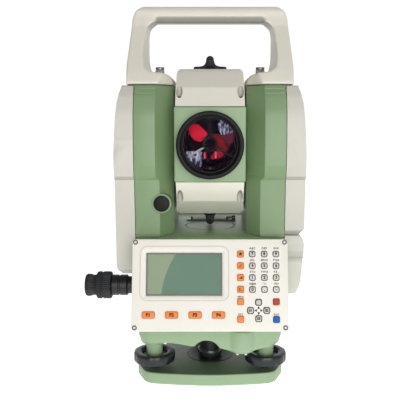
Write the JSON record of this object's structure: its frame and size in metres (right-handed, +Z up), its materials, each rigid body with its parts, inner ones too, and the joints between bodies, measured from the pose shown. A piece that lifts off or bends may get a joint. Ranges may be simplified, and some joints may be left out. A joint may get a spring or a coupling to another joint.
{
  "type": "surveying total station",
  "caption": "Two-faced surveying instrument with a tilting telescope between two standards, keypad panels, a carrying handle and a screw-levelled base.",
  "frame": {"origin": "centre of the whole object's footprint, on the plane its base plate rests on", "axes": "+Z up along the instrument's vertical axis, which stands 17.4 mm to the right of the origin; the objective faces -Y; +X is the instrument's right seen from the front"},
  "size_m": [0.2088, 0.204, 0.362],
  "materials": {
    "green_paint": "satin painted alloy casting",
    "cream_paint": "satin painted moulding",
    "black_plastic": "satin black",
    "steel": "turned",
    "clear_glass": "polished",
    "coated_glass": "multi-coated optical glass",
    "lcd_panel": "liquid crystal display behind glass",
    "circuit_board": "solder mask",
    "orange_rubber": "silicone rubber",
    "red_rubber": "silicone rubber",
    "blue_rubber": "silicone rubber",
    "grey_rubber": "silicone rubber"
  },
  "bodies": {
    "tribrach": {"base_plate": "green_paint", "tripod_bush": "black_plastic", "tribrach_body": "green_paint", "circular_level": "clear_glass", "spindle": "steel", "horizontal_circle": "clear_glass"},
    "footscrew_1": {"footscrew_1": "black_plastic"},
    "footscrew_2": {"footscrew_2": "black_plastic"},
    "footscrew_3": {"footscrew_3": "black_plastic"},
    "alidade": {"alidade_base": "green_paint", "left_standard": "green_paint", "right_standard": "green_paint", "left_cover": "cream_paint", "right_cover": "cream_paint", "main_board": "circuit_board", "plate_level": "black_plastic", "tangent_spring_cap": "black_plastic", "horizontal_drive_neck": "black_plastic", "front_panel_case": "green_paint", "front_faceplate": "cream_paint", "front_display": "lcd_panel", "rear_panel_case": "green_paint", "rear_faceplate": "cream_paint", "rear_display": "lcd_panel"},
    "telescope": {"telescope_body": "green_paint", "telescope_top_cover": "cream_paint", "telescope_bottom_cover": "cream_paint", "objective_ring": "black_plastic", "objective_lens": "coated_glass", "sight_top": "black_plastic", "sight_bottom": "black_plastic", "vertical_circle": "clear_glass"},
    "focus_ring": {"focus_ring": "black_plastic"},
    "eyepiece_ring": {"eyepiece_ring": "black_plastic"},
    "horizontal_clamp_ring": {"horizontal_clamp_ring": "black_plastic"},
    "horizontal_tangent_knob": {"horizontal_tangent_knob": "black_plastic"},
    "vertical_clamp_ring": {"vertical_clamp_ring": "black_plastic"},
    "vertical_tangent_knob": {"vertical_tangent_knob": "black_plastic"},
    "battery": {"battery": "cream_paint"},
    "handle": {"carrying_handle": "cream_paint"},
    "handle_screw_left": {"handle_screw_left": "steel"},
    "handle_screw_right": {"handle_screw_right": "steel"},
    "front_keypad": {"front_keypad": "grey_rubber"},
    "rear_keypad": {"rear_keypad": "grey_rubber"},
    "function_key_1": {"function_key_1": "orange_rubber"},
    "function_key_2": {"function_key_2": "orange_rubber"},
    "function_key_3": {"function_key_3": "orange_rubber"},
    "function_key_4": {"function_key_4": "orange_rubber"},
    "symbol_key_1": {"symbol_key_1": "orange_rubber"},
    "symbol_key_2": {"symbol_key_2": "orange_rubber"},
    "symbol_key_3": {"symbol_key_3": "orange_rubber"},
    "symbol_key_4": {"symbol_key_4": "orange_rubber"},
    "menu_key": {"menu_key": "orange_rubber"},
    "escape_key": {"escape_key": "orange_rubber"},
    "power_key": {"power_key": "red_rubber"},
    "enter_key": {"enter_key": "blue_rubber"},
    "up_key": {"up_key": "grey_rubber"},
    "down_key": {"down_key": "grey_rubber"},
    "left_key": {"left_key": "grey_rubber"},
    "right_key": {"right_key": "grey_rubber"}
  },
  "joints": [
    {"name": "alidade_turn", "type": "hinge", "parent": "tribrach", "child": "alidade", "pos_m": [0.0174, 0, 0.1], "axis": [0, 0, 1], "continuous": true},
    {"name": "telescope_tilt", "type": "hinge", "parent": "alidade", "child": "telescope", "pos_m": [0.0174, 0, 0.234], "axis": [1, 0, 0], "continuous": true},
    {"name": "footscrew_1_turn", "type": "hinge", "parent": "tribrach", "child": "footscrew_1", "pos_m": [-0.03785, -0.0319, 0.02], "axis": [0, 0, 1], "range_deg": [-900, 900]},
    {"name": "footscrew_2_turn", "type": "hinge", "parent": "tribrach", "child": "footscrew_2", "pos_m": [0.07265, -0.0319, 0.02], "axis": [0, 0, 1], "range_deg": [-900, 900]},
    {"name": "footscrew_3_turn", "type": "hinge", "parent": "tribrach", "child": "footscrew_3", "pos_m": [0.0174, 0.0638, 0.02], "axis": [0, 0, 1], "range_deg": [-900, 900]},
    {"name": "horizontal_clamp", "type": "hinge", "parent": "alidade", "child": "horizontal_clamp_ring", "pos_m": [-0.0866, -0.03, 0.095], "axis": [-1, 0, 0], "range_deg": [-90, 0]},
    {"name": "horizontal_tangent", "type": "hinge", "parent": "alidade", "child": "horizontal_tangent_knob", "pos_m": [-0.0986, -0.03, 0.095], "axis": [-1, 0, 0], "range_deg": [-900, 900]},
    {"name": "vertical_clamp", "type": "hinge", "parent": "alidade", "child": "vertical_clamp_ring", "pos_m": [-0.027, 0.077, 0.18], "axis": [0, 1, 0], "range_deg": [-90, 0]},
    {"name": "vertical_tangent", "type": "hinge", "parent": "alidade", "child": "vertical_tangent_knob", "pos_m": [-0.027, 0.09, 0.18], "axis": [0, 1, 0], "range_deg": [-900, 900]},
    {"name": "focus_turn", "type": "hinge", "parent": "telescope", "child": "focus_ring", "pos_m": [0.0174, 0.06, 0.234], "axis": [0, 1, 0], "range_deg": [-200, 200]},
    {"name": "eyepiece_turn", "type": "hinge", "parent": "telescope", "child": "eyepiece_ring", "pos_m": [0.0174, 0.075, 0.234], "axis": [0, 1, 0], "range_deg": [-150, 150]},
    {"name": "handle_lift", "type": "slide", "parent": "alidade", "child": "handle", "axis": [0, 0, 1], "range_m": [0, 0.07]},
    {"name": "handle_screw_left_turn", "type": "hinge", "parent": "handle", "child": "handle_screw_left", "pos_m": [-0.0316, 0, 0.3], "axis": [0, 0, 1], "range_deg": [0, 1260]},
    {"name": "handle_screw_right_turn", "type": "hinge", "parent": "handle", "child": "handle_screw_right", "pos_m": [0.0664, 0, 0.3], "axis": [0, 0, 1], "range_deg": [0, 1260]},
    {"name": "battery_release", "type": "slide", "parent": "alidade", "child": "battery", "axis": [1, 0, 0], "range_m": [0, 0.04]},
    {"name": "function_key_1_press", "type": "slide", "parent": "alidade", "child": "function_key_1", "axis": [0, 0.9622, -0.2723], "range_m": [0, 0.0007], "stiffness_N_per_m": 400, "springref_m": -0.0005},
    {"name": "function_key_2_press", "type": "slide", "parent": "alidade", "child": "function_key_2", "axis": [0, 0.9622, -0.2723], "range_m": [0, 0.0007], "stiffness_N_per_m": 400, "springref_m": -0.0005},
    {"name": "function_key_3_press", "type": "slide", "parent": "alidade", "child": "function_key_3", "axis": [0, 0.9622, -0.2723], "range_m": [0, 0.0007], "stiffness_N_per_m": 400, "springref_m": -0.0005},
    {"name": "function_key_4_press", "type": "slide", "parent": "alidade", "child": "function_key_4", "axis": [0, 0.9622, -0.2723], "range_m": [0, 0.0007], "stiffness_N_per_m": 400, "springref_m": -0.0005},
    {"name": "symbol_key_1_press", "type": "slide", "parent": "alidade", "child": "symbol_key_1", "axis": [0, 0.9622, -0.2723], "range_m": [0, 0.0007], "stiffness_N_per_m": 400, "springref_m": -0.0005},
    {"name": "symbol_key_2_press", "type": "slide", "parent": "alidade", "child": "symbol_key_2", "axis": [0, 0.9622, -0.2723], "range_m": [0, 0.0007], "stiffness_N_per_m": 400, "springref_m": -0.0005},
    {"name": "symbol_key_3_press", "type": "slide", "parent": "alidade", "child": "symbol_key_3", "axis": [0, 0.9622, -0.2723], "range_m": [0, 0.0007], "stiffness_N_per_m": 400, "springref_m": -0.0005},
    {"name": "symbol_key_4_press", "type": "slide", "parent": "alidade", "child": "symbol_key_4", "axis": [0, 0.9622, -0.2723], "range_m": [0, 0.0007], "stiffness_N_per_m": 400, "springref_m": -0.0005},
    {"name": "menu_key_press", "type": "slide", "parent": "alidade", "child": "menu_key", "axis": [0, 0.9622, -0.2723], "range_m": [0, 0.0007], "stiffness_N_per_m": 400, "springref_m": -0.0005},
    {"name": "escape_key_press", "type": "slide", "parent": "alidade", "child": "escape_key", "axis": [0, 0.9622, -0.2723], "range_m": [0, 0.0007], "stiffness_N_per_m": 400, "springref_m": -0.0005},
    {"name": "power_key_press", "type": "slide", "parent": "alidade", "child": "power_key", "axis": [0, 0.9622, -0.2723], "range_m": [0, 0.0007], "stiffness_N_per_m": 400, "springref_m": -0.0005},
    {"name": "enter_key_press", "type": "slide", "parent": "alidade", "child": "enter_key", "axis": [0, 0.9622, -0.2723], "range_m": [0, 0.0007], "stiffness_N_per_m": 400, "springref_m": -0.0005},
    {"name": "up_key_press", "type": "slide", "parent": "alidade", "child": "up_key", "axis": [0, 0.9622, -0.2723], "range_m": [0, 0.0007], "stiffness_N_per_m": 400, "springref_m": -0.0005},
    {"name": "down_key_press", "type": "slide", "parent": "alidade", "child": "down_key", "axis": [0, 0.9622, -0.2723], "range_m": [0, 0.0007], "stiffness_N_per_m": 400, "springref_m": -0.0005},
    {"name": "left_key_press", "type": "slide", "parent": "alidade", "child": "left_key", "axis": [0, 0.9622, -0.2723], "range_m": [0, 0.0007], "stiffness_N_per_m": 400, "springref_m": -0.0005},
    {"name": "right_key_press", "type": "slide", "parent": "alidade", "child": "right_key", "axis": [0, 0.9622, -0.2723], "range_m": [0, 0.0007], "stiffness_N_per_m": 400, "springref_m": -0.0005},
    {"name": "front_keypad_press", "type": "slide", "parent": "alidade", "child": "front_keypad", "axis": [0, 0.9622, -0.2723], "range_m": [0, 0.0006], "stiffness_N_per_m": 400, "springref_m": -0.0005},
    {"name": "rear_keypad_press", "type": "slide", "parent": "alidade", "child": "rear_keypad", "axis": [0, -0.9622, -0.2723], "range_m": [0, 0.0006], "stiffness_N_per_m": 400, "springref_m": -0.0005}
  ]
}
